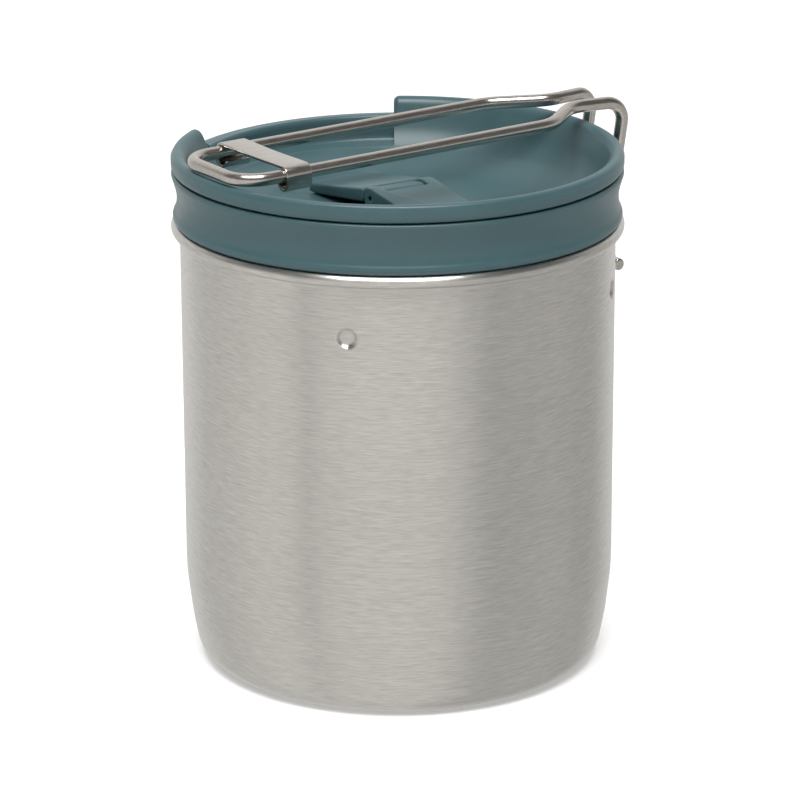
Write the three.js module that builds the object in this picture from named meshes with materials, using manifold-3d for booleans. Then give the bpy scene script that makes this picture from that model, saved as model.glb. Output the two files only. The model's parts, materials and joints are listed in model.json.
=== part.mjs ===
// Cooking pot set: a steel pot with a fold-over wire handle, a dished lid and two nested insulated bowls.
// Millimetres, +Z up. The origin is on the pot's axis at the base. The handle's bracket is on the +X side
// and the handle lies folded over the lid, with its grip towards -X. The lid's pour notch is on the +Y side.
import * as THREE from 'three';
import { mergeVertices } from 'three/addons/utils/BufferGeometryUtils.js';
import Module from 'manifold-3d';

const wasm = await Module();
wasm.setup();

// ---- driving dimensions ----
const GAP = 0.3; // running gap between touching pieces
const TURN_STEPS = 32; // facets round every turned piece

const POT_R = 60; // outside of the straight wall
const POT_SHEET = 0.7;
const POT_FOOT_R = 50.4; // edge of the flat base
const POT_CORNER_R = 7; // round between base and tapered foot
const BEAD_R = 1.7; // rolled bead at the rim
const BEAD_AXIS = [60.7, 124.1];
const DIMPLE_ANGLES = [43, 133, 223, 313]; // degrees round from +X
const DIMPLE_Z = 108.2;
const DIMPLE_R = 2.9;
const DIMPLE_DEPTH = 1.5;

const LID_FLOOR_Z = 127.4;
const LID_RING_R = 62.1;
const LID_RING_TOP = 145;
const LID_RING_BOTTOM = 140.15;
const LID_PLUG_R = 58.4;
const NOTCH_FROM = 57; // degrees round from +X
const NOTCH_TO = 124;
const NOTCH_Z = 140.4;
const NOTCH_WALL_R = 55.6; // inside of the wall that is left standing in the notch
const SCOOP_AT = [0, 35, 128.2];
const SCOOP_HALF = [18, 8.5, 2.4];

const TAB_PIVOT = [-2.2, 132.3]; // y, z of the flap's pin
const TAB_PIN_R = 0.9;
const TAB_HALF_WIDTH = 10.3;
const TAB_HUB_HALF_WIDTH = 6.5;
const EAR_INNER_X = 6.8;
const EAR_OUTER_X = 10.5;

const WIRE_R = 1.8;
const WIRE_SIDES = 10;
const PIVOT = [64.85, 104.8]; // x, z of the handle's hinge
const PIN_END_Y = 16;
const LEG_Y = 7.5;
const GRIP_Y = 15.4; // half the distance between the grip's wires
const GRIP_TIP = [-59.1, 147.05]; // x, z of the wire across the grip's tip
const GRIP_SLOPE = 0.0165; // rise of the grip per millimetre towards the bracket
const JOG_START_X = 41;

const CLIP_X = -43.2;
const CLIP_LENGTH = 7.8;
const CLIP_SHEET = 0.7;
const CLIP_CLEARANCE = 0.2; // round the wire
const CLIP_DROP = 1.7; // straight part of each side, between the plate's bend and the curl below
const CLIP_CURL_END = -165; // degrees; the open end of each curl, under the wire

const BRACKET_SHEET = 0.9;
const BRACKET_Z = [94.5, 115.1];
const BRACKET_EAR_Y = 9.6; // inner face of each ear
const BRACKET_EAR_R = 2.9; // rounded end round the handle's pin

const steel = new THREE.MeshStandardMaterial({ color: 0xb4b0a8, roughness: 0.35, metalness: 1 });
const wireSteel = new THREE.MeshStandardMaterial({ color: 0x9a948c, roughness: 0.25, metalness: 1 });
const teal = new THREE.MeshStandardMaterial({ color: 0x5d767a, roughness: 0.45, metalness: 0 });
const silicone = new THREE.MeshStandardMaterial({ color: 0x3c4446, roughness: 0.7, metalness: 0 });
const foam = new THREE.MeshStandardMaterial({ color: 0xe8e4d8, roughness: 0.9, metalness: 0 });

// ---- helpers ----
const radians = THREE.MathUtils.degToRad;
const gripZ = (x) => GRIP_TIP[1] + (x - GRIP_TIP[0]) * GRIP_SLOPE;

// A closed solid from any three.js geometry, with flat triangles dropped and its faces turned outwards.
function toSolid(geometry) {
  geometry.deleteAttribute('normal');
  geometry.deleteAttribute('uv');
  const merged = mergeVertices(geometry, 1e-4);
  const index = merged.index.array;
  const triangles = [];
  for (let i = 0; i < index.length; i += 3) {
    const [a, b, c] = [index[i], index[i + 1], index[i + 2]];
    if (a !== b && b !== c && c !== a) triangles.push(a, b, c);
  }
  const build = () => new wasm.Manifold(new wasm.Mesh({
    numProp: 3,
    vertProperties: Float32Array.from(merged.attributes.position.array),
    triVerts: Uint32Array.from(triangles),
  }));
  const solid = build();
  if (solid.volume() > 0) return solid;
  triangles.reverse();
  return build();
}

function toMesh(name, solid, material) {
  const { vertProperties, triVerts } = solid.getMesh();
  const geometry = new THREE.BufferGeometry();
  geometry.setAttribute('position', new THREE.BufferAttribute(vertProperties, 3));
  geometry.setIndex(new THREE.BufferAttribute(triVerts, 1));
  const mesh = new THREE.Mesh(geometry, material);
  mesh.name = name;
  return mesh;
}

// A profile of [radius, height] pairs turned about the Z axis.
function turned(profile) {
  const points = profile.map(([r, z]) => new THREE.Vector2(r, z));
  return toSolid(new THREE.LatheGeometry(points, TURN_STEPS).rotateX(Math.PI / 2));
}

// A ring profile, which closes on itself instead of on the axis.
const turnedRing = (profile) => turned([...profile, profile[0]]);

// A flat shape of [x, y] pairs given a height along Z from z0.
function raised(shape, z0, height, curveSegments = 8) {
  const options = { depth: height, bevelEnabled: false, curveSegments };
  return toSolid(new THREE.ExtrudeGeometry(shape, options).translate(0, 0, z0));
}

const outline = (pairs) => new THREE.Shape(pairs.map(([a, b]) => new THREE.Vector2(a, b)));

// A flat shape of [y, z] pairs given a width along X from x0.
function acrossX(shape, x0, width, curveSegments = 8) {
  const options = { depth: width, bevelEnabled: false, curveSegments };
  const geometry = new THREE.ExtrudeGeometry(shape, options);
  geometry.rotateY(Math.PI / 2).rotateX(Math.PI / 2);
  return toSolid(geometry.translate(x0, 0, 0));
}

function sector(innerR, outerR, from, to) {
  const shape = new THREE.Shape();
  shape.absarc(0, 0, outerR, radians(from), radians(to), false);
  shape.absarc(0, 0, innerR, radians(to), radians(from), true);
  return shape;
}

function ellipsoid(center, half, wide = 20, high = 12) {
  const geometry = new THREE.SphereGeometry(1, wide, high);
  return toSolid(geometry.scale(...half).translate(...center));
}

// Points of [r, z] on an arc, angles in degrees.
function arcPoints([cr, cz], radius, from, to, steps) {
  return Array.from({ length: steps + 1 }, (_, i) => {
    const angle = radians(from + ((to - from) * i) / steps);
    return [cr + radius * Math.cos(angle), cz + radius * Math.sin(angle)];
  });
}

// ---- pot ----
function potBody() {
  const foot = arcPoints([POT_FOOT_R, POT_CORNER_R], POT_CORNER_R, -90, -8, 4);
  const insideFoot = arcPoints([POT_FOOT_R, POT_CORNER_R], POT_CORNER_R - POT_SHEET, -8, -90, 4);
  const inner = POT_R - POT_SHEET;
  const bead = arcPoints(BEAD_AXIS, BEAD_R, -110, 165, 7);
  const wall = turned([
    [0, 0], ...foot, [59.2, 18.5], [POT_R, 27], ...bead,
    [inner, 120], [inner, 27.2], [58.5, 18.6], ...insideFoot, [0, POT_SHEET],
  ]);
  return dimpled(wall);
}

// Each dimple is a shallow dent pressed in from outside, so the sheet bulges inside the pot.
function dimpled(wall) {
  const dentR = (DIMPLE_R ** 2 + DIMPLE_DEPTH ** 2) / (2 * DIMPLE_DEPTH);
  const insideWall = turned([[0, 90], [POT_R - POT_SHEET / 2, 90], [POT_R - POT_SHEET / 2, 118], [0, 118]]);
  let body = wall;
  for (const degrees of DIMPLE_ANGLES) {
    const reach = POT_R - DIMPLE_DEPTH + dentR;
    const center = [reach * Math.cos(radians(degrees)), reach * Math.sin(radians(degrees)), DIMPLE_Z];
    const bulge = ellipsoid(center, Array(3).fill(dentR + POT_SHEET), 16, 10).intersect(insideWall);
    body = body.add(bulge).subtract(ellipsoid(center, Array(3).fill(dentR), 16, 10));
  }
  return body;
}

// A U-shaped saddle: a web that follows the wall, and two ears that hold the handle's ends.
function handleBracket() {
  const wallR = POT_R + GAP;
  const earOuterY = BRACKET_EAR_Y + BRACKET_SHEET;
  const halfAngle = THREE.MathUtils.radToDeg(Math.asin(earOuterY / (wallR + BRACKET_SHEET)));
  const [low, high] = BRACKET_Z;
  let bracket = raised(sector(wallR, wallR + BRACKET_SHEET, -halfAngle, halfAngle), low, high - low, 6);
  const [px, pz] = PIVOT;
  const ear = new THREE.Shape();
  ear.moveTo(57, low);
  ear.lineTo(60.8, low);
  ear.lineTo(px, pz - BRACKET_EAR_R);
  ear.absarc(px, pz, BRACKET_EAR_R, -Math.PI / 2, Math.PI / 2, false);
  ear.lineTo(60.8, high);
  ear.lineTo(57, high);
  ear.holes.push(new THREE.Path().absarc(px, pz, WIRE_R + GAP, 0, 2 * Math.PI, true));
  for (const y of [-earOuterY, BRACKET_EAR_Y]) {
    const geometry = new THREE.ExtrudeGeometry(ear, { depth: BRACKET_SHEET, bevelEnabled: false });
    geometry.rotateX(Math.PI / 2).translate(0, y + BRACKET_SHEET, 0);
    bracket = bracket.add(toSolid(geometry));
  }
  return bracket.subtract(turned([[0, 80], [wallR, 80], [wallR, 130], [0, 130]]));
}

// ---- handle ----
// A path of straight runs joined by true arcs, sampled so that each straight is one step.
class BentWire extends THREE.Curve {
  constructor(corners, bendSteps = 5) {
    super();
    this.nodes = [corners[0].at];
    for (let i = 1; i < corners.length - 1; i += 1) {
      this.addBend(corners[i - 1].at, corners[i], corners[i + 1].at, bendSteps);
    }
    this.nodes.push(corners.at(-1).at);
  }

  addBend(before, { at, bend }, after, bendSteps) {
    const arriving = at.clone().sub(before).normalize();
    const leaving = after.clone().sub(at).normalize();
    const half = arriving.angleTo(leaving) / 2;
    const towards = leaving.clone().sub(arriving).normalize();
    const center = at.clone().addScaledVector(towards, bend / Math.cos(half));
    const start = at.clone().addScaledVector(arriving, -bend * Math.tan(half)).sub(center);
    const axis = arriving.clone().cross(leaving).normalize();
    for (let step = 0; step <= bendSteps; step += 1) {
      const turn = (2 * half * step) / bendSteps;
      this.nodes.push(start.clone().applyAxisAngle(axis, turn).add(center));
    }
  }

  getUtoTmapping(u) {
    return u;
  }

  getPoint(t) {
    const place = Math.min(Math.max(t, 0), 1) * (this.nodes.length - 1);
    const first = Math.min(Math.floor(place), this.nodes.length - 2);
    return this.nodes[first].clone().lerp(this.nodes[first + 1], place - first);
  }
}

// One side of the wire, from the pin in the bracket to the middle of the grip's tip.
function handleSide(side) {
  const corner = (x, y, z, bend) => ({ at: new THREE.Vector3(x, y * side, z), bend });
  return [
    corner(PIVOT[0], PIN_END_Y, PIVOT[1], 0),
    corner(PIVOT[0], LEG_Y, PIVOT[1], 2),
    corner(72.3, LEG_Y, 149.6, 5),
    corner(54.8, 5.2, 149.7, 6),
    corner(JOG_START_X, GRIP_Y, gripZ(JOG_START_X), 6),
    corner(GRIP_TIP[0], GRIP_Y, GRIP_TIP[1], 8),
  ];
}

function handleWire() {
  const path = new BentWire([...handleSide(-1), ...handleSide(1).reverse()]);
  const section = new THREE.Shape().absarc(0, 0, WIRE_R, 0, 2 * Math.PI, false);
  return toSolid(new THREE.ExtrudeGeometry(section, {
    steps: path.nodes.length - 1,
    curveSegments: WIRE_SIDES,
    extrudePath: path,
  }));
}

// The clip's flat plate lies on both wires, and its sides drop past them and curl back underneath.
function handleClip() {
  const innerR = WIRE_R + CLIP_CLEARANCE;
  const side = (radius) => [
    ...arcPoints([GRIP_Y, 0], radius, 90, 0, 4),
    ...arcPoints([GRIP_Y, -CLIP_DROP], radius, 0, CLIP_CURL_END, 7),
  ];
  const right = [...side(innerR + CLIP_SHEET), ...side(innerR).reverse()];
  const left = right.map(([y, z]) => [-y, z]).reverse();
  return acrossX(outline([...right, ...left]), -CLIP_LENGTH / 2, CLIP_LENGTH);
}

// ---- lid ----
function lidShell() {
  const dish = turned([
    [0, LID_FLOOR_Z], [34, LID_FLOOR_Z], [45, 129.2], [51.5, 132.4], [54.8, 136.2], [57, 141], [58.3, 144.1],
    [59.3, 144.9], [60.8, LID_RING_TOP], [61.7, 144.4], [LID_RING_R, 143.4], [LID_RING_R, 140.9],
    [61.6, LID_RING_BOTTOM], [LID_PLUG_R, LID_RING_BOTTOM], [LID_PLUG_R, 138], [56.9, 138], [56.9, 135.4],
    [LID_PLUG_R, 135.4], [58, 134], [52, 130.2], [45.5, 127.3], [35, 125.6], [0, 125.6],
  ]);
  const [sx, sy, sz] = SCOOP_AT;
  const underFloor = turned([[0, 110], [50, 110], [50, LID_FLOOR_Z - 0.4], [0, LID_FLOOR_Z - 0.4]]);
  const scoopBack = ellipsoid([sx, sy, sz - 0.8], SCOOP_HALF.map((half) => half + 1.6))
    .intersect(underFloor);
  let lid = dish.add(scoopBack).add(hingeBlock());
  lid = lid.subtract(ellipsoid(SCOOP_AT, SCOOP_HALF));
  for (const cut of notchCuts()) lid = lid.subtract(cut);
  return lid.subtract(hingePinHole());
}

// The notch takes the ring away, lowers the wall behind it and sets that wall back.
function notchCuts() {
  const above = LID_RING_TOP + 1;
  const cut = (innerR, outerR, z) => raised(sector(innerR, outerR, NOTCH_FROM, NOTCH_TO), z, above - z, 12);
  return [
    cut(LID_PLUG_R, LID_RING_R + 1, LID_RING_BOTTOM - 0.5),
    cut(44, LID_PLUG_R + 0.2, NOTCH_Z),
    cut(44, NOTCH_WALL_R, 132.6),
  ];
}

// Two ears hold the flap's pin, and a long ramp behind them runs down to the dish.
function hingeBlock() {
  const base = LID_FLOOR_Z - 0.6;
  const ramp = outline([[0.8, base], [0.8, 134.7], [-0.4, 135.4], [-2.6, 135.4], [-39, 129.4], [-39, base]]);
  const block = acrossX(ramp, -EAR_OUTER_X, 2 * EAR_OUTER_X);
  const hubSpace = outline([[-6.4, LID_FLOOR_Z], [2, LID_FLOOR_Z], [2, 137], [-6.4, 137]]);
  return block.subtract(acrossX(hubSpace, -EAR_INNER_X, 2 * EAR_INNER_X));
}

function hingePinHole() {
  const hole = new THREE.Shape().absarc(...TAB_PIVOT, TAB_PIN_R + GAP, 0, 2 * Math.PI, false);
  return acrossX(hole, -EAR_OUTER_X - 1, 2 * EAR_OUTER_X + 2, 6);
}

function tabHingePin() {
  const round = new THREE.Shape().absarc(...TAB_PIVOT, TAB_PIN_R, 0, 2 * Math.PI, false);
  return acrossX(round, -EAR_OUTER_X + 0.6, 2 * EAR_OUTER_X - 1.2, 6);
}

// The flap tapers from its hub down to its free end, which rests just above the dish.
function liftTab() {
  const [y, z] = TAB_PIVOT;
  const plate = outline([[2, 131], [2, 134.4], [2.8, 134.5], [28.4, 130.3], [29.2, 129.6], [29.2, 127.8],
    [26, 127.75], [2.6, 130.6]]);
  const hub = outline([...arcPoints([y, z], 3, 60, 300, 8), [2.6, 130.5], [2.6, 134.5]]);
  const whole = acrossX(plate, -TAB_HALF_WIDTH, 2 * TAB_HALF_WIDTH)
    .add(acrossX(hub, -TAB_HUB_HALF_WIDTH, 2 * TAB_HUB_HALF_WIDTH));
  return whole.subtract(hingePinHole());
}

const lidGasket = () => turnedRing([
  [57.2, 135.7], [58.1, 135.7], [58.6, 136.4], [58.6, 137], [58.1, 137.7], [57.2, 137.7],
]);

// ---- nested bowls ----
const upperBowlShell = () => turned([
  [0, 67], [44, 67], [50, 69], [54.5, 74], [56.4, 84], [57, 125.4], [57.4, 126.1], [61, 126.1],
  [61.7, 126.6], [61.75, 127.6], [60.9, 130.2], [60.7, 132.4], [61.1, 135.4], [62, 138.8], [61.8, 139.6], [61.2, 139.85],
  [59.3, 139.85], [58.95, 139.4], [58.95, 127.5], [55.2, 127.5], [54.7, 84], [53, 75], [49, 70.4],
  [43.8, 68.6], [0, 68.6],
]);

const upperBowlLiner = () => turned([
  [0, 71.8], [40.2, 71.8], [45.4, 72.9], [50, 77], [52.2, 86], [52.8, 127.8], [58.65, 127.8], [58.65, 128.9],
  [52.2, 128.9], [51.4, 128.2], [50.8, 86], [48.6, 78], [44.5, 74.2], [40, 73.2], [0, 73.2],
]);

const upperBowlFoam = () => turned([
  [0, 68.9], [43.7, 68.9], [48.8, 70.7], [52.7, 75.1], [54.4, 84], [54.9, 127.2], [53.1, 127.2], [52.5, 86],
  [50.3, 76.8], [45.5, 72.6], [40.3, 71.5], [0, 71.5],
]);

const lowerBowlShell = () => turned([
  [0, 1], [44, 1], [49.6, 3.2], [53, 8], [54.8, 18], [56.2, 60], [57, 61], [57, 66.2], [55.8, 66.2],
  [55.8, 64.2], [54.5, 64.2], [53.1, 18], [51.3, 8.6], [48.6, 4.6], [43.7, 2.6], [0, 2.6],
]);

const lowerBowlLiner = () => turned([
  [0, 5.8], [40.2, 5.8], [45.2, 7], [49.2, 11], [50.8, 20], [52.3, 64.5], [55.5, 64.5], [55.5, 65.6],
  [51.8, 65.6], [50.9, 64.9], [49.4, 20], [47.8, 12], [44.4, 8.3], [40, 7.2], [0, 7.2],
]);

const lowerBowlFoam = () => turned([
  [0, 2.9], [43.6, 2.9], [48.3, 4.9], [51, 8.9], [52.8, 18], [54.2, 63.9], [52.6, 63.9], [51.1, 20],
  [49.5, 10.8], [45.4, 6.7], [40.3, 5.5], [0, 5.5],
]);

// ---- assembly ----
const set = new THREE.Group();
set.add(
  toMesh('pot_body', potBody(), steel),
  toMesh('handle_bracket', handleBracket(), steel),
  toMesh('handle_wire', handleWire(), wireSteel),
  toMesh('lid_shell', lidShell(), teal),
  toMesh('lid_gasket', lidGasket(), silicone),
  toMesh('lift_tab', liftTab(), teal),
  toMesh('tab_hinge_pin', tabHingePin(), wireSteel),
  toMesh('upper_bowl_shell', upperBowlShell(), teal),
  toMesh('upper_bowl_liner', upperBowlLiner(), teal),
  toMesh('upper_bowl_foam', upperBowlFoam(), foam),
  toMesh('lower_bowl_shell', lowerBowlShell(), teal),
  toMesh('lower_bowl_liner', lowerBowlLiner(), teal),
  toMesh('lower_bowl_foam', lowerBowlFoam(), foam),
);

const clip = toMesh('handle_clip', handleClip(), wireSteel);
clip.position.set(CLIP_X, 0, gripZ(CLIP_X));
clip.rotation.y = -Math.atan(GRIP_SLOPE);
set.add(clip);

export default set;
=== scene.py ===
import json
import math

import bmesh
import bpy
import numpy as np
from mathutils import Matrix, Vector


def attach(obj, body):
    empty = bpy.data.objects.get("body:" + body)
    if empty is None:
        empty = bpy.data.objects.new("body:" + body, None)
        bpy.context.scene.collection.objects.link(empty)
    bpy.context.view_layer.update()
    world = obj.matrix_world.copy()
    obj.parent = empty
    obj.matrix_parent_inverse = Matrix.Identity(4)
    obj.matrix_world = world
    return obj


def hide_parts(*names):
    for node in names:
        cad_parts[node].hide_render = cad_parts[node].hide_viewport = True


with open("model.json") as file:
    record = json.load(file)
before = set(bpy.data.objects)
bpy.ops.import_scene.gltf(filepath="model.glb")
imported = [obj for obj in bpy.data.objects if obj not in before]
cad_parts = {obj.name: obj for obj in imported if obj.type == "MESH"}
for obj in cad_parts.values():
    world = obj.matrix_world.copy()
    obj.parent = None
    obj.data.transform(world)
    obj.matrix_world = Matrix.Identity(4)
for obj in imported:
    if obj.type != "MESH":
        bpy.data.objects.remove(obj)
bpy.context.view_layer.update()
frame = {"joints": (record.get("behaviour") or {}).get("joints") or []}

# ---- sizes: the object's shapes are given in millimetres and written to meshes in metres ----
MM = 0.001
COLUMNS = 240  # facets round every turned piece


def joint_place(name):
    """Where a joint of the frame sits, in millimetres."""
    joint = next(joint for joint in frame["joints"] if joint["name"] == name)
    return [value / MM for value in joint["pos_m"]]


POT_R = 60.0
POT_SHEET = 0.7
FOOT_CENTER = (50.4, 7.0)
FOOT_R = 7.0
BEAD_CENTER = (60.68, 124.1)
BEAD_R = 1.7
DIMPLE_ANGLES = [43, 133, 223, 313]
DIMPLE_Z = 108.2
DIMPLE_FLAT_R = 1.6
DIMPLE_RIM_R = 3.2
DIMPLE_DEPTH = 0.95

LID_FLOOR_Z = 127.4
NOTCH_FROM = 57.0
NOTCH_TO = 124.0
LUG_ROUND = 1.7  # round on the ends of the lid's ring
SCOOP_AT = (0.0, 35.0)
SCOOP_HALF = (18.0, 8.5)
SCOOP_DEPTH = 1.6

TAB_PIVOT = joint_place("tab_lift")
TAB_PIN_R = 0.9
EAR_INNER_X = 6.8
EAR_OUTER_X = 10.5
TAB_HALF_WIDTH = 10.3
TAB_HUB_HALF_WIDTH = 6.5
TAB_HUB_R = 2.5
HUB_SPACE_Y = (-5.3, 2)  # the slot between the ears that the tab's hub turns in

WIRE_R = 1.8
HANDLE_PIVOT = joint_place("handle_fold")
PIN_END_Y = 16.0
LEG_Y = 7.5
GRIP_Y = 15.4
GRIP_TIP = (-59.1, 147.05)
GRIP_SLOPE = 0.0165
JOG_START_X = 41.0

CLIP_X = -43.2
CLIP_LENGTH = 7.8
CLIP_SHEET = 0.8
CLIP_INNER_R = WIRE_R + 0.06
CLIP_DROP = 1.7

BRACKET_SHEET = 0.9
BRACKET_Z = (94.5, 115.1)
BRACKET_EAR_Y = 9.6
BRACKET_EAR_R = 2.9
WALL_GAP = 0.3


# ---- outlines ----
def rounded(corners, degrees_per_step=9.0):
    """Points of an open outline. A corner's third number is the radius that rounds it."""
    points = []
    for i, corner in enumerate(corners):
        at = np.array(corner[:2], float)
        radius = corner[2] if len(corner) > 2 else 0
        if not radius:
            points.append(at)
            continue
        back = np.array(corners[i - 1][:2], float) - at
        ahead = np.array(corners[i + 1][:2], float) - at
        back, ahead = back / np.linalg.norm(back), ahead / np.linalg.norm(ahead)
        half = math.acos(np.clip(back @ ahead, -1, 1)) / 2
        middle = (back + ahead) / np.linalg.norm(back + ahead)
        center = at + middle * radius / math.sin(half)
        start, end = at + back * radius / math.tan(half), at + ahead * radius / math.tan(half)
        a0 = math.atan2(*(start - center)[::-1])
        turn = (math.atan2(*(end - center)[::-1]) - a0 + math.pi) % (2 * math.pi) - math.pi
        steps = max(2, math.ceil(abs(math.degrees(turn)) / degrees_per_step))
        for k in range(steps + 1):
            angle = a0 + turn * k / steps
            points.append(center + radius * np.array([math.cos(angle), math.sin(angle)]))
    return points


def arc(center, radius, start, end, steps):
    """Points on an arc, angles in degrees."""
    angles = np.radians(np.linspace(start, end, steps + 1))
    return [np.array([center[0] + radius * math.cos(a), center[1] + radius * math.sin(a)]) for a in angles]


def smooth(points, steps=6):
    """A Catmull-Rom curve through the points."""
    p = [np.array(point, float) for point in points]
    p = [2 * p[0] - p[1], *p, 2 * p[-1] - p[-2]]
    curve = []
    for a, b, c, d in zip(p, p[1:], p[2:], p[3:]):
        for k in range(steps):
            t = k / steps
            curve.append(0.5 * (2 * b + (c - a) * t + (2 * a - 5 * b + 4 * c - d) * t**2
                                + (3 * b - a - 3 * c + d) * t**3))
    return [*curve, p[-2]]


def divided(start, end, steps):
    """Evenly spaced points of a straight run, without its end."""
    start, end = np.array(start, float), np.array(end, float)
    return [start + (end - start) * k / steps for k in range(steps)]


# ---- meshes ----
def new_object(name, vertices, faces, sharp_degrees=35):
    """A mesh object from points in millimetres, with its faces turned outwards and smooth up to an angle."""
    mesh = bpy.data.meshes.new(name)
    mesh.from_pydata([tuple(v) for v in np.asarray(vertices) * MM], [], faces)
    obj = bpy.data.objects.new(name, mesh)
    bpy.context.scene.collection.objects.link(obj)
    tidy_mesh(obj, sharp_degrees)
    return obj


def tidy_mesh(obj, sharp_degrees=35):
    bm = bmesh.new()
    bm.from_mesh(obj.data)
    bmesh.ops.remove_doubles(bm, verts=bm.verts, dist=1e-7)
    bmesh.ops.recalc_face_normals(bm, faces=bm.faces)
    bm.to_mesh(obj.data)
    bm.free()
    obj.data.shade_smooth()
    obj.data.set_sharp_from_angle(angle=math.radians(sharp_degrees))


def swept(name, angles, profile_at, change=None):
    """A closed body turned about Z. profile_at(angle) gives the [r, z] outline, in the same number of points
    at every angle. Ends on the axis become poles; otherwise the outline closes on itself."""
    outlines = np.array([profile_at(a) for a in angles])
    columns, rows = outlines.shape[:2]
    poles = outlines[0, 0, 0] < 1e-6
    r, z = outlines[..., 0], outlines[..., 1]
    turn = np.array(angles)[:, None]
    points = np.stack([r * np.cos(turn), r * np.sin(turn), z], -1)
    if change:
        points = change(points)
    inner = range(1, rows - 2) if poles else range(rows)
    faces = []
    for j in range(columns):
        k = (j + 1) % columns
        for i in inner:
            n = (i + 1) % rows
            faces.append((j * rows + i, k * rows + i, k * rows + n, j * rows + n))
    vertices = points.reshape(-1, 3).tolist()
    if poles:
        for i, near in ((0, 1), (rows - 1, rows - 2)):
            pole = len(vertices)
            vertices.append([0, 0, float(outlines[0, i, 1])])
            faces += [(pole, j * rows + near, (j + 1) % columns * rows + near) for j in range(columns)]
    obj = new_object(name, vertices, faces)
    drop_loose(obj)
    return obj


def drop_loose(obj):
    bm = bmesh.new()
    bm.from_mesh(obj.data)
    bmesh.ops.delete(bm, geom=[v for v in bm.verts if not v.link_faces], context="VERTS")
    bm.to_mesh(obj.data)
    bm.free()


def turned(name, profile):
    return swept(name, np.radians(np.arange(COLUMNS) * 360 / COLUMNS), lambda angle: profile)


def prism(name, outline, axis, start, length):
    """A closed outline given a length along X, Y or Z. Its pairs are the other two axes in order."""
    others = [i for i in range(3) if i != "XYZ".index(axis)]
    count = len(outline)
    vertices = np.zeros((2 * count, 3))
    vertices[:, others[0]] = [p[0] for p in outline] * 2
    vertices[:, others[1]] = [p[1] for p in outline] * 2
    vertices[:count, "XYZ".index(axis)] = start
    vertices[count:, "XYZ".index(axis)] = start + length
    faces = [tuple(range(count)), tuple(range(count, 2 * count))]
    faces += [(i, (i + 1) % count, (i + 1) % count + count, i + count) for i in range(count)]
    return new_object(name, vertices, faces)


def apply_modifier(obj, kind, **settings):
    modifier = obj.modifiers.new(kind, kind)
    for key, value in settings.items():
        setattr(modifier, key, value)
    depsgraph = bpy.context.evaluated_depsgraph_get()
    mesh = bpy.data.meshes.new_from_object(obj.evaluated_get(depsgraph))
    obj.modifiers.clear()
    old, obj.data = obj.data, mesh
    bpy.data.meshes.remove(old)
    return obj


def bevel(obj, width, segments=3, degrees=40):
    return apply_modifier(obj, "BEVEL", width=width * MM, segments=segments, limit_method="ANGLE",
                          angle_limit=math.radians(degrees), use_clamp_overlap=True)


def combine(obj, other, operation):
    apply_modifier(obj, "BOOLEAN", object=other, operation=operation, solver="EXACT")
    mesh = other.data
    bpy.data.objects.remove(other)
    bpy.data.meshes.remove(mesh)
    return obj


def tube(name, path, radius, sides=28, end_round=0.7):
    """A round wire along a path of points, its ends rounded."""
    path = [Vector(p) for p in path]
    tangents = [(b - a).normalized() for a, b in zip(path, path[1:])]
    directions = [tangents[0], *[(a + b).normalized() for a, b in zip(tangents, tangents[1:])], tangents[-1]]
    ends = [(end_round * (1 - math.cos(t)), radius - end_round * (1 - math.sin(t)))
            for t in np.radians([0, 22.5, 45, 67.5])]
    stations = [(path[0] + directions[0] * along, directions[0], r) for along, r in ends]
    stations += [(p, d, radius) for p, d in zip(path[1:-1], directions[1:-1])]
    stations += [(path[-1] - directions[-1] * along, directions[-1], r) for along, r in reversed(ends)]
    across = directions[0].orthogonal().normalized()
    vertices = []
    for place, direction, r in stations:
        across = (across - direction * across.dot(direction)).normalized()
        up = direction.cross(across)
        for k in range(sides):
            a = 2 * math.pi * k / sides
            vertices.append(place + (across * math.cos(a) + up * math.sin(a)) * r)
    rings = len(stations)
    faces = []
    for i in range(rings - 1):
        for k in range(sides):
            here, following = i * sides, (k + 1) % sides
            faces.append((here + k, here + following, here + sides + following, here + sides + k))
    faces += [tuple(range(sides)), tuple(range((rings - 1) * sides, rings * sides))]
    return new_object(name, vertices, faces)


def bent_path(corners, bend_steps=10):
    """Points along straight runs joined by arcs. Each corner is (point, bend radius)."""
    path = [Vector(corners[0][0])]
    for (before, _), (at, radius), (after, _) in zip(corners, corners[1:], corners[2:]):
        before, at, after = Vector(before), Vector(at), Vector(after)
        arriving, leaving = (at - before).normalized(), (after - at).normalized()
        half = arriving.angle(leaving) / 2
        center = at + (leaving - arriving).normalized() * radius / math.cos(half)
        start = at - arriving * radius * math.tan(half) - center
        axis = arriving.cross(leaving).normalized()
        for k in range(bend_steps + 1):
            path.append(center + Matrix.Rotation(2 * half * k / bend_steps, 3, axis) @ start)
    return [*path, Vector(corners[-1][0])]


# ---- materials ----
def new_material(name, **sockets):
    material = bpy.data.materials.new(name)
    material.use_nodes = True
    shader = material.node_tree.nodes["Principled BSDF"]
    for socket, value in sockets.items():
        shader.inputs[socket.replace("_", " ")].default_value = value
    return material, material.node_tree, shader


def add(tree, kind, inputs=None, **settings):
    node = tree.nodes.new(kind)
    for key, value in settings.items():
        setattr(node, key, value)
    for key, value in (inputs or {}).items():
        if isinstance(value, bpy.types.NodeSocket):
            tree.links.new(value, node.inputs[key])
        else:
            node.inputs[key].default_value = value
    return node


def stretched_noise(tree, scale, detail=3.0, roughness=0.55):
    """Noise over the object's own metres, with a scale for each axis in features per metre."""
    place = add(tree, "ShaderNodeTexCoord").outputs["Object"]
    mapping = add(tree, "ShaderNodeMapping", {"Vector": place, "Scale": scale})
    noise = add(tree, "ShaderNodeTexNoise", {"Vector": mapping.outputs["Vector"], "Scale": 1.0,
                                             "Detail": detail, "Roughness": roughness})
    return noise.outputs["Fac"]


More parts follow.
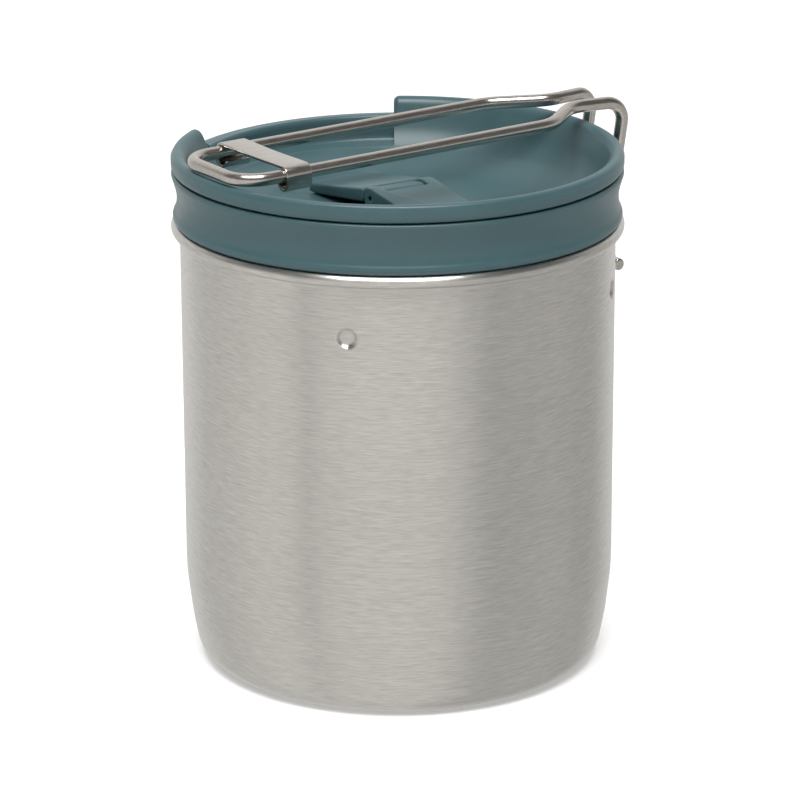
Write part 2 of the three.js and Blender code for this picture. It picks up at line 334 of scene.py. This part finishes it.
def spread(tree, value, low, high, start=0.3, end=0.7):
    """A value that runs from start to end, mapped to run from low to high and held there."""
    return add(tree, "ShaderNodeMapRange", {"Value": value, "From Min": start, "From Max": end,
                                            "To Min": low, "To Max": high}).outputs["Result"]


def tinted(tree, color, factor):
    """A colour made lighter or darker by a varying factor."""
    scale = add(tree, "ShaderNodeVectorMath", {0: color, 3: factor}, operation="SCALE")
    return scale.outputs["Vector"]


def times(tree, a, b):
    return add(tree, "ShaderNodeMath", {0: a, 1: b}, operation="MULTIPLY").outputs["Value"]


def bumped(tree, shader, height, distance, strength=1.0):
    bump = add(tree, "ShaderNodeBump", {"Height": height, "Distance": distance, "Strength": strength})
    tree.links.new(bump.outputs["Normal"], shader.inputs["Normal"])


def brushed_steel():
    """Drawn sheet, brushed round the pot: fine level streaks and broad faint clouding."""
    material, tree, shader = new_material("brushed_pot_steel", Metallic=1.0, Anisotropic=0.8,
                                          Anisotropic_Rotation=0.25)
    fine = stretched_noise(tree, (230, 230, 4600), 2.0)
    coarse = stretched_noise(tree, (80, 80, 2000), 3.0)
    clouds = stretched_noise(tree, (14, 14, 22), 2.0)
    streaks = times(tree, spread(tree, fine, 0.87, 1.13), spread(tree, coarse, 0.95, 1.05))
    factor = times(tree, streaks, spread(tree, clouds, 0.98, 1.02))
    tree.links.new(tinted(tree, (0.67, 0.65, 0.61), factor), shader.inputs["Base Color"])
    tree.links.new(spread(tree, coarse, 0.29, 0.36), shader.inputs["Roughness"])
    tangent = add(tree, "ShaderNodeTangent", direction_type="RADIAL", axis="Z")
    tree.links.new(tangent.outputs["Tangent"], shader.inputs["Tangent"])
    bumped(tree, shader, fine, 0.00002, 0.5)
    return material


def wire_steel():
    """Bright drawn wire and strip, with lengthwise draw marks and small handling marks."""
    material, tree, shader = new_material("drawn_wire_steel", Metallic=1.0)
    marks = stretched_noise(tree, (240, 2600, 2600), 3.0)
    specks = stretched_noise(tree, (1500, 1500, 1500), 3.0)
    factor = times(tree, spread(tree, marks, 0.86, 1.10), spread(tree, specks, 0.98, 1.02))
    tree.links.new(tinted(tree, (0.60, 0.56, 0.515), factor), shader.inputs["Base Color"])
    tree.links.new(spread(tree, marks, 0.17, 0.24), shader.inputs["Roughness"])
    bumped(tree, shader, marks, 0.000006, 0.3)
    return material


def moulded_plastic(name, color, low, high):
    """Satin moulded plastic: an even fine grain with faint mottling."""
    material, tree, shader = new_material(name, IOR=1.47)
    grain = stretched_noise(tree, (2600, 2600, 2600), 3.0)
    mottle = stretched_noise(tree, (70, 70, 70), 3.0)
    factor = times(tree, spread(tree, grain, 0.97, 1.03), spread(tree, mottle, 0.96, 1.04))
    tree.links.new(tinted(tree, color, factor), shader.inputs["Base Color"])
    tree.links.new(spread(tree, mottle, low, high), shader.inputs["Roughness"])
    bumped(tree, shader, grain, 0.00002, 0.5)
    return material


def silicone():
    material, tree, shader = new_material("gasket_silicone", IOR=1.41)
    dust = stretched_noise(tree, (400, 400, 400), 3.0)
    color = tinted(tree, (0.05, 0.06, 0.062), spread(tree, dust, 0.85, 1.2))
    tree.links.new(color, shader.inputs["Base Color"])
    tree.links.new(spread(tree, dust, 0.55, 0.75), shader.inputs["Roughness"])
    bumped(tree, shader, dust, 0.00003, 0.5)
    return material


def rigid_foam():
    """Pale cellular foam with a pitted surface."""
    material, tree, shader = new_material("rigid_foam", IOR=1.45)
    place = add(tree, "ShaderNodeTexCoord").outputs["Object"]
    cells = add(tree, "ShaderNodeTexVoronoi", {"Vector": place, "Scale": 900.0}).outputs["Distance"]
    tree.links.new(tinted(tree, (0.78, 0.73, 0.62), spread(tree, cells, 0.85, 1.05, 0.0, 0.8)),
                   shader.inputs["Base Color"])
    tree.links.new(spread(tree, cells, 0.8, 0.95, 0.0, 0.8), shader.inputs["Roughness"])
    bumped(tree, shader, cells, 0.0002, 0.6)
    return material


STEEL = brushed_steel()
WIRE = wire_steel()
TEAL = moulded_plastic("teal_plastic", (0.044, 0.092, 0.102), 0.29, 0.38)
GASKET = silicone()
FOAM = rigid_foam()


def fit(obj, material, body, slot, *nodes):
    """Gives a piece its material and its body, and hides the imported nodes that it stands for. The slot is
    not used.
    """
    obj.data.materials.clear()
    obj.data.materials.append(material)
    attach(obj, body)
    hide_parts(*nodes)
    return obj


# ---- pot ----
def pot_profile():
    wall_top = DIMPLE_Z + 2 * DIMPLE_RIM_R
    wall_low = DIMPLE_Z - 2 * DIMPLE_RIM_R
    rows = round((wall_top - wall_low) / 0.28)
    inner = POT_R - POT_SHEET
    foot = arc(FOOT_CENTER, FOOT_R, -90, -8, 14)
    inner_foot = arc(FOOT_CENTER, FOOT_R - POT_SHEET, -8, -90, 14)
    flank = smooth([foot[-1], (58.45, 12.3), (59.2, 18.5), (59.8, 24), (POT_R, 30)], 5)[1:]
    inner_flank = smooth([(inner, 30), (59.1, 24), (58.5, 18.6), (57.75, 12.4), inner_foot[0]], 5)[:-1]
    return [
        (0, 0), (25, 0), (48, 0), *foot, *flank,
        *divided((POT_R, 45), (POT_R, wall_low), 4),
        *divided((POT_R, wall_low), (POT_R, wall_top), rows),
        (POT_R, wall_top), (POT_R, 118), (POT_R, 121.2), (POT_R, 122.3),
        *arc(BEAD_CENTER, BEAD_R, -110, 165, 30),
        (59.2, 123.2), (inner, 121), (inner, 118),
        *divided((inner, wall_top), (inner, wall_low), rows),
        *divided((inner, wall_low), (inner, 30), 4),
        *inner_flank, *inner_foot, (48, POT_SHEET), (25, POT_SHEET), (0, POT_SHEET),
    ]


def dimpled(points):
    """Presses a shallow round dent into the wall at each dimple, through both faces of the sheet."""
    for degrees in DIMPLE_ANGLES:
        a = math.radians(degrees)
        outward = np.array([math.cos(a), math.sin(a), 0])
        along = np.array([-math.sin(a), math.cos(a), 0])
        side = points @ along
        away = np.hypot(side, points[..., 2] - DIMPLE_Z)
        near = (points @ outward > 0) & (away < DIMPLE_RIM_R)
        t = np.clip((DIMPLE_RIM_R - away) / (DIMPLE_RIM_R - DIMPLE_FLAT_R), 0, 1)
        depth = DIMPLE_DEPTH * t * t * (3 - 2 * t) * near
        points = points - depth[..., None] * outward
    return points


def pot_angles():
    """Even steps round the pot, with finer ones across each dimple."""
    step, fine = 360 / 180, 0.27
    reach = math.degrees(1.3 * DIMPLE_RIM_R / POT_R)
    angles = set(np.round(np.arange(0, 360, step), 4))
    for centre in DIMPLE_ANGLES:
        angles = {a for a in angles if abs(a - centre) > reach}
        angles |= set(np.round(np.arange(centre - reach, centre + reach + fine / 2, fine), 4))
    return np.radians(sorted(angles))


def make_pot():
    profile = pot_profile()
    pot = swept("pot", pot_angles(), lambda angle: profile, dimpled)
    fit(pot, STEEL, "pot", "pot_steel", "pot_body")


def make_bracket():
    """A bent strip: a web that follows the wall, rounded bends, and two ears pierced for the handle."""
    wall = POT_R + WALL_GAP
    ear_x = HANDLE_PIVOT[0] + BRACKET_EAR_R
    ear_out = BRACKET_EAR_Y + BRACKET_SHEET
    bend = 1.6
    inner_y, outer_y = BRACKET_EAR_Y - bend, ear_out - 1.3 * bend
    web = [(math.sqrt((wall + BRACKET_SHEET) ** 2 - y * y), y) for y in np.linspace(-inner_y, inner_y, 9)]
    back = [(math.sqrt(wall**2 - y * y), y) for y in np.linspace(outer_y, -outer_y, 11)]
    corner_x = math.sqrt(wall**2 - ear_out**2) + 0.15
    outline = rounded([
        (ear_x, -ear_out), (ear_x, -BRACKET_EAR_Y), (web[0][0], -BRACKET_EAR_Y, 0.7), *web,
        (web[-1][0], BRACKET_EAR_Y, 0.7), (ear_x, BRACKET_EAR_Y), (ear_x, ear_out),
        (corner_x, ear_out, bend), *back, (corner_x, -ear_out, bend), (ear_x, -ear_out),
    ])[:-1]
    low, high = BRACKET_Z
    px, _, pz = HANDLE_PIVOT
    bracket = prism("bracket", outline, "Z", low, high - low)
    side = [(55, low), (60.9, low), *arc((px, pz), BRACKET_EAR_R, -68, 68, 14), (60.9, high), (55, high)]
    combine(bracket, prism("ear_side", side, "Y", -20, 40), "INTERSECT")
    combine(bracket, prism("pin_hole", arc((px, pz), WIRE_R + 0.12, 0, 345, 23), "Y", -20, 40), "DIFFERENCE")
    tidy_mesh(bracket)
    bevel(bracket, 0.16, 2)
    tidy_mesh(bracket)
    fit(bracket, WIRE, "pot", "pot_steel", "handle_bracket")


# ---- handle ----
def grip_z(x):
    return GRIP_TIP[1] + (x - GRIP_TIP[0]) * GRIP_SLOPE


def handle_side(side):
    px, _, pz = HANDLE_PIVOT
    return [
        ((px, PIN_END_Y * side, pz), 0),
        ((px, LEG_Y * side, pz), 2),
        ((72.16, LEG_Y * side, 149.6), 5),
        ((54.8, 5.2 * side, 149.66), 10),
        ((JOG_START_X, GRIP_Y * side, grip_z(JOG_START_X)), 12),
        ((GRIP_TIP[0], GRIP_Y * side, GRIP_TIP[1]), 8),
    ]


def make_handle():
    path = bent_path([*handle_side(-1), *reversed(handle_side(1))])
    fit(tube("handle", path, WIRE_R), WIRE, "handle", "wire_steel", "handle_wire")


def clip_side(radius):
    """One side of the clip in the Y-Z plane: bend, straight drop, and the curl under the wire."""
    return [
        *arc((GRIP_Y, 0), radius, 90, 0, 10),
        *arc((GRIP_Y, -CLIP_DROP), radius, -8, -165, 16),
    ]


def make_clip():
    """A strip bent round both wires. Its plate is drawn down a little between them."""
    outer, inner = clip_side(CLIP_INNER_R + CLIP_SHEET), clip_side(CLIP_INNER_R)[::-1]
    tip = inner[0] - outer[-1]
    lip = [outer[-1] + tip * 0.5 + np.array([-0.28, 0.12])]
    right = [*outer, *lip, *inner]
    plate = [(y, CLIP_INNER_R) for y in np.linspace(GRIP_Y, -GRIP_Y, 13)[1:-1]]
    top = [(y, CLIP_INNER_R + CLIP_SHEET) for y in np.linspace(-GRIP_Y, GRIP_Y, 13)[1:-1]]
    left = [(-y, z) for y, z in right[::-1]]
    outline = [*right, *plate, *left, *top]
    sag = [(y, z - 0.22 * math.cos(math.pi * y / 2 / GRIP_Y) ** 2 if abs(y) < GRIP_Y and z > 0 else z)
           for y, z in outline]
    clip = prism("clip", sag, "X", -CLIP_LENGTH / 2, CLIP_LENGTH)
    bevel(clip, 0.2, 3, 60)
    tidy_mesh(clip, 50)
    turn = Matrix.Rotation(-math.atan(GRIP_SLOPE), 4, "Y")
    clip.data.transform(Matrix.Translation(Vector((CLIP_X, 0, grip_z(CLIP_X))) * MM) @ turn)
    fit(clip, WIRE, "clip", "wire_steel", "handle_clip")


# ---- lid ----
RING = [  # the lid's outline through its ring, from the floor's middle, over the top and back underneath
    *divided((0, LID_FLOOR_Z), (34, LID_FLOOR_Z), 34),
    *smooth([(34, LID_FLOOR_Z), (40, 127.9), (45, 129.1), (49, 130.7), (51.9, 132.6), (54.8, 136.2),
             (57, 141), (58.2, 143.6), (59.3, 144.7), (60.5, 145), (61.4, 144.6), (61.85, 143.75)], 6),
    (61.97, 143.45), (62.1, 143.4), (62.1, 142.4), (62.1, 141.6), (62.0, 141.0), (61.7, 140.5),
    (61.2, 140.2), (60, 140.15), (58.4, 140.15),
]
BELOW = [  # the plug and the underside, the same all the way round
    (58.4, 139.2), (58.4, 138.1), (58.3, 138), (57, 138), (56.9, 137.9), (56.9, 135.5), (57, 135.4),
    (58.3, 135.4), (58.4, 135.3),
    *smooth([(58.35, 134.8), (57.2, 132.9), (52, 130.2), (45.5, 127.3), (38, 125.9), (33, 125.6)], 4),
    *divided((32, 125.6), (0, 125.6), 16), (0, 125.6),
]


def length_along(points):
    """The distance along an outline at each of its points."""
    return np.r_[0, np.cumsum(np.linalg.norm(np.diff(points, axis=0), axis=1))]


def notch_outline():
    """The ring's outline cut down to the notch: a steep wall with a rounded top, point for point."""
    ring = np.array(RING)
    wall = np.array(rounded([
        (51.9, 132.6), (55.7, 133.0, 1.6), (56.3, 140.4, 0.9), (58.4, 140.4, 0.8), (58.4, 138.2),
    ], 12))
    first = int(np.argmax(ring[:, 1] > 132.5))
    run, ring_run = length_along(wall), length_along(ring[first:])
    crest, ring_crest = np.argmax(wall[:, 1] > 140.3), np.argmax(ring[first:, 1] > 140.4)
    places = np.interp(ring_run, [0, ring_run[ring_crest], ring_run[-1]], [0, run[crest], run[-1] - 0.9])
    bent = np.stack([np.interp(places, run, wall[:, 0]), np.interp(places, run, wall[:, 1])], 1)
    return np.vstack([ring[:first], bent])


def inset_ring(distance):
    """The ring's upper part drawn in by a distance, for its rounded ends."""
    ring = np.array(RING)
    middle = np.array([59.6, 142.0])
    offset = ring - middle
    length = np.maximum(np.linalg.norm(offset, axis=1, keepdims=True), 1e-6)
    near = (ring[:, 1] > 139.9) & (ring[:, 0] > 56)
    share = np.where(near, 1.0, 0.0)[:, None]
    return ring - offset / length * np.minimum(distance, length * 0.9) * share


def lid_profile(angle):
    """Outline at an angle: the full ring, its rounded end, or the notch."""
    degrees = math.degrees(angle) % 360
    middle, half = (NOTCH_FROM + NOTCH_TO) / 2, (NOTCH_TO - NOTCH_FROM) / 2
    past_end = math.radians(abs((degrees - middle + 180) % 360 - 180) - half) * POT_R
    if past_end < -0.001:
        top = notch_outline()
    elif past_end < LUG_ROUND:
        top = inset_ring(LUG_ROUND - math.sqrt(LUG_ROUND**2 - (LUG_ROUND - past_end) ** 2))
    else:
        top = np.array(RING)
    return [*top, *BELOW]


def lid_angles():
    angles = set(np.round(np.arange(0, 360, 360 / COLUMNS), 4))
    reach = math.degrees(LUG_ROUND / POT_R)
    eased = [1 - math.cos(t) for t in np.linspace(0, math.pi / 2, 8)]
    for end, outward in ((NOTCH_FROM, -1), (NOTCH_TO, 1)):
        angles = {a for a in angles if not -0.4 < (a - end) * outward < reach + 0.2}
        angles |= {round(end + outward * reach * share, 4) for share in eased}
        angles.add(round(end - outward * 0.002, 4))
    return np.radians(sorted(angles))


def scooped(points):
    """Presses the finger scoop into the floor beyond the tab's free end."""
    x, y = points[..., 0] - SCOOP_AT[0], points[..., 1] - SCOOP_AT[1]
    away = np.hypot(x / SCOOP_HALF[0], y / SCOOP_HALF[1])
    t = np.clip((1 - away) / 0.45, 0, 1)
    floor = points[..., 2] < 131
    lowered = points.copy()
    lowered[..., 2] -= SCOOP_DEPTH * t * t * (3 - 2 * t) * floor
    return lowered


def hinge_block():
    """Two ears for the tab's pin, and the ramp that runs from them down to the floor."""
    base = LID_FLOOR_Z - 0.6
    ramp = [(0.8, base), (0.8, 134.7), (-0.4, 135.4), (-2.6, 135.4), (-39, 129.4), (-39, base)]
    block = prism("hinge_block", ramp, "X", -EAR_OUTER_X, 2 * EAR_OUTER_X)
    back, front = HUB_SPACE_Y
    hub_space = [(back, base - 1), (front, base - 1), (front, 137), (back, 137)]
    combine(block, prism("hub_space", hub_space, "X", -EAR_INNER_X, 2 * EAR_INNER_X), "DIFFERENCE")
    tidy_mesh(block)
    bevel(block, 0.45, 3)
    return block


def make_lid():
    lid = swept("lid", lid_angles(), lid_profile, scooped)
    combine(lid, hinge_block(), "UNION")
    hole = arc(TAB_PIVOT[1:], TAB_PIN_R + 0.15, 0, 345, 23)
    combine(lid, prism("pin_hole", hole, "X", -EAR_OUTER_X - 1, 2 * EAR_OUTER_X + 2), "DIFFERENCE")
    tidy_mesh(lid, 40)
    fit(lid, TEAL, "lid", "teal_plastic", "lid_shell")


def make_tab():
    """A flap that tapers from its hub to its free end, with rounded edges."""
    plate = [(2, 131), (2, 134.4), (2.8, 134.5), (28.4, 130.3), (29.2, 129.6), (29.2, 127.8), (26, 127.75),
             (2.6, 130.6)]
    tab = prism("lift_tab_piece", plate, "X", -TAB_HALF_WIDTH, 2 * TAB_HALF_WIDTH)
    bevel(tab, 0.75, 4, 50)
    hub_outline = [*arc(TAB_PIVOT[1:], TAB_HUB_R, 70, 300, 24), (3.2, 130.7), (3.2, 134.1)]
    hub = prism("tab_hub", hub_outline, "X", -TAB_HUB_HALF_WIDTH, 2 * TAB_HUB_HALF_WIDTH)
    bevel(hub, 0.3, 3, 60)
    combine(tab, hub, "UNION")
    hole = arc(TAB_PIVOT[1:], TAB_PIN_R + 0.1, 0, 345, 23)
    combine(tab, prism("tab_hole", hole, "X", -EAR_OUTER_X, 2 * EAR_OUTER_X), "DIFFERENCE")
    tidy_mesh(tab, 40)
    fit(tab, TEAL, "tab", "teal_plastic", "lift_tab")


def make_hinge_pin():
    half = EAR_OUTER_X - 0.6
    path = [(x, TAB_PIVOT[1], TAB_PIVOT[2]) for x in np.linspace(-half, half, 5)]
    fit(tube("hinge_pin", path, TAB_PIN_R, 20, 0.25), WIRE, "lid", "wire_steel", "tab_hinge_pin")


def make_gasket():
    gasket = turned("gasket", rounded([
        (57.2, 136.7), (57.2, 135.7, 0.2), (58.2, 135.7, 0.25), (58.6, 136.7, 0.5), (58.2, 137.7, 0.25),
        (57.2, 137.7, 0.2), (57.2, 136.8),
    ]))
    fit(gasket, GASKET, "lid", "gasket_silicone", "lid_gasket")


# ---- nested bowls ----
def upper_shell():
    waist = smooth([(61.8, 127.4), (61.6, 128.1), (61.15, 128.9), (60.8, 130.3), (60.65, 132.5),
                    (60.9, 134.7), (61.5, 137), (62.0, 138.6)], 5)
    return [
        *rounded([(0, 67), (44, 67, 5), (50.5, 69.2, 5), (55.1, 75.5, 6), (56.5, 86), (57, 124.6),
                  (57.05, 126.1, 0.4), (61.2, 126.1, 0.35), (61.75, 126.7, 0.3), (61.75, 127.3)]),
        *waist,
        *rounded([(62.05, 138.8), (62.0, 139.85, 0.8), (58.95, 139.85, 0.4), (58.95, 127.5, 0.4),
                  (55.2, 127.5, 0.3), (54.7, 84), (53.4, 75.9, 5), (49.2, 70.3, 4.5), (43.8, 68.6, 4),
                  (0, 68.6)]),
    ]


def upper_liner():
    return rounded([
        (0, 71.8), (40.2, 71.8, 5), (45.8, 73, 5), (50.4, 77.5, 5), (52.2, 86), (52.8, 127.8, 0.3),
        (58.65, 127.8, 0.2), (58.65, 128.9, 0.2), (51.6, 128.9, 0.9), (50.8, 86), (49.1, 78.4, 5),
        (44.8, 74.2, 4.5), (40, 73.2, 4), (0, 73.2),
    ])


def upper_foam():
    return rounded([
        (0, 68.9), (43.7, 68.9, 3), (48.8, 70.7, 4), (52.7, 75.1, 4), (54.4, 84), (54.9, 127.2),
        (53.1, 127.2), (52.5, 86), (50.3, 76.8, 4), (45.5, 72.6, 4), (40.3, 71.5), (0, 71.5),
    ])


def lower_shell():
    return rounded([
        (0, 1), (44, 1, 5), (50, 3.2, 5), (53.6, 8.6, 6), (54.8, 18), (56.15, 59.6), (57, 61, 0.8),
        (57, 66.2, 0.6), (55.8, 66.2, 0.3), (55.8, 64.2), (54.5, 64.2), (53.1, 18), (51.9, 9.2, 5),
        (48.7, 4.5, 4.5), (43.7, 2.6, 4), (0, 2.6),
    ])


def lower_liner():
    return rounded([
        (0, 5.8), (40.2, 5.8, 5), (45.4, 7, 5), (49.5, 11.2, 5), (50.8, 20), (52.3, 64.5, 0.3),
        (55.5, 64.5, 0.2), (55.5, 65.6, 0.3), (50.95, 65.6, 0.8), (49.4, 20), (48.1, 12.3, 5),
        (44.6, 8.2, 4.5), (40, 7.2, 4),
        (0, 7.2),
    ])


def lower_foam():
    return rounded([
        (0, 2.9), (43.6, 2.9), (48.3, 4.9, 4), (51, 8.9, 4), (52.8, 18), (54.2, 63.9), (52.6, 63.9),
        (51.1, 20), (49.5, 10.8, 4), (45.4, 6.7, 4), (40.3, 5.5), (0, 5.5),
    ])


def make_bowls():
    for level, shell, liner, foam in (("upper", upper_shell, upper_liner, upper_foam),
                                      ("lower", lower_shell, lower_liner, lower_foam)):
        body = f"{level}_bowl"
        for part, outline, material, slot in (("shell", shell, TEAL, "teal_plastic"),
                                              ("liner", liner, TEAL, "teal_plastic"),
                                              ("foam", foam, FOAM, "foam")):
            piece = turned(f"{level}_{part}", outline())
            fit(piece, material, body, slot, f"{body}_{part}")


# ---- floor, light and camera ----
CAMERA_AZIMUTH = -34.0
CAMERA_ELEVATION = 18.004
CAMERA_DISTANCE = 1.0804
CAMERA_TARGET = Vector((0, 0, 0.0723))
CAMERA_LENS = 173.96
CAMERA_SHIFT = 0.002
CAMERA_ROLL = -0.0035  # radians
WALL_LEVELS = [  # degrees from the camera's side towards the right, brightness
    (-180, 0.80), (-150, 0.78), (-122, 0.62), (-100, 0.70), (-75, 0.80), (-56, 0.78), (-50, 0.58),
    (-43, 0.75), (0, 0.76), (25, 0.74), (40, 0.62), (50, 0.53), (90, 0.56), (125, 0.46), (150, 0.70),
    (180, 0.80),
]
CEILING_LEVELS = [  # height of a direction from 0, straight down, to 1, straight up, and brightness
    (0.0, 1.0), (0.55, 1.0), (0.66, 0.26), (0.95, 0.20),
]


def make_floor():
    mesh = bpy.data.meshes.new("floor")
    half = 6.0
    corners = [(-half, -half, 0), (half, -half, 0), (half, half, 0), (-half, half, 0)]
    mesh.from_pydata(corners, [], [(0, 1, 2, 3)])
    floor = bpy.data.objects.new("floor", mesh)
    bpy.context.scene.collection.objects.link(floor)
    material, tree, shader = new_material("pale_floor", Roughness=0.9, Emission_Color=(1, 1, 1, 1),
                                          Emission_Strength=0.22)
    speckle = stretched_noise(tree, (300, 300, 300), 2.0)
    color = tinted(tree, (0.9, 0.9, 0.9), spread(tree, speckle, 0.99, 1.01))
    tree.links.new(color, shader.inputs["Base Color"])
    mesh.materials.append(material)
    floor.visible_glossy = False


def ramp(tree, value, stops):
    """A smooth curve through (position, level) stops, for a value from 0 to 1."""
    node = add(tree, "ShaderNodeValToRGB", {"Fac": value})
    stops = sorted(stops)
    elements = node.color_ramp.elements
    while len(elements) < len(stops):
        elements.new(0.5)
    for element, (position, level) in zip(elements, stops):
        element.position = position
        element.color = (level, level, level, 1)
    return node.outputs["Color"]


def make_world():
    """Soft surroundings, given round the compass from the camera's side: bright ahead and to the left,
    dimmer to the right, bright behind, and dark overhead on the camera's side."""
    world = bpy.data.worlds.new("studio")
    bpy.context.scene.world = world
    world.use_nodes = True
    tree = world.node_tree
    direction = add(tree, "ShaderNodeTexCoord").outputs["Generated"]
    turned_to_camera = add(tree, "ShaderNodeVectorRotate", {
        "Vector": direction, "Angle": math.radians(-CAMERA_AZIMUTH)}, rotation_type="Z_AXIS")
    parts = add(tree, "ShaderNodeSeparateXYZ", {"Vector": turned_to_camera.outputs["Vector"]}).outputs
    back = add(tree, "ShaderNodeMath", {0: parts["Y"], 1: -1.0}, operation="MULTIPLY").outputs["Value"]
    compass = add(tree, "ShaderNodeMath", {0: parts["X"], 1: back}, operation="ARCTAN2").outputs["Value"]
    turn = spread(tree, compass, 0.0, 1.0, -math.pi, math.pi)
    round_walls = ramp(tree, turn, [(degrees / 360 + 0.5, level) for degrees, level in WALL_LEVELS])
    height = spread(tree, parts["Z"], 0.0, 1.0, -1.0, 1.0)
    above = ramp(tree, height, CEILING_LEVELS)
    ahead = ramp(tree, spread(tree, back, 0.0, 1.0, -1.0, 1.0), [(0.2, 0.0), (0.42, 1.0)])
    shade = spread(tree, ahead, 1.0, above, 0.0, 1.0)
    level = times(tree, round_walls, shade)
    color = tinted(tree, (1.0, 0.995, 0.985), level)
    tree.links.new(color, tree.nodes["Background"].inputs["Color"])


def area_light(name, place, target, size, power):
    light = bpy.data.lights.new(name, "AREA")
    light.shape = "RECTANGLE"
    light.size, light.size_y = size
    light.energy = power
    obj = bpy.data.objects.new(name, light)
    bpy.context.scene.collection.objects.link(obj)
    obj.location = place
    obj.rotation_euler = (Vector(target) - Vector(place)).to_track_quat("-Z", "Y").to_euler()
    return obj


def around(azimuth, elevation, distance):
    """A place seen from the object at an azimuth counted from the camera's own, in metres."""
    a, e = math.radians(CAMERA_AZIMUTH + azimuth), math.radians(elevation)
    direction = Vector((math.sin(a) * math.cos(e), -math.cos(a) * math.cos(e), math.sin(e)))
    return CAMERA_TARGET + distance * direction


def make_lights():
    """A broad fill overhead that puts no highlight of its own on the steel, and a softbox high in front."""
    middle = (0, 0, 0.08)
    fill = area_light("overhead_fill", around(0, 84, 1.6), middle, (2.6, 2.4), 22)
    fill.visible_glossy = False
    area_light("softbox", around(-5, 70, 1.3), middle, (0.9, 0.65), 17)


def make_camera():
    data = bpy.data.cameras.new("camera")
    data.sensor_width = 36.0
    data.lens = CAMERA_LENS
    data.shift_x = CAMERA_SHIFT
    data.clip_end = 50
    camera = bpy.data.objects.new("camera", data)
    bpy.context.scene.collection.objects.link(camera)
    camera.location = around(0, CAMERA_ELEVATION, CAMERA_DISTANCE)
    aim = (CAMERA_TARGET - camera.location).to_track_quat("-Z", "Y")
    roll = Matrix.Rotation(CAMERA_ROLL, 3, "Z").to_quaternion()
    camera.rotation_mode = "QUATERNION"
    camera.rotation_quaternion = aim @ roll
    bpy.context.scene.camera = camera


make_camera()
make_pot()
make_bracket()
make_handle()
make_clip()
make_lid()
make_tab()
make_hinge_pin()
make_gasket()
make_bowls()
make_floor()
make_world()
make_lights()
bpy.context.scene.view_settings.view_transform = "Standard"
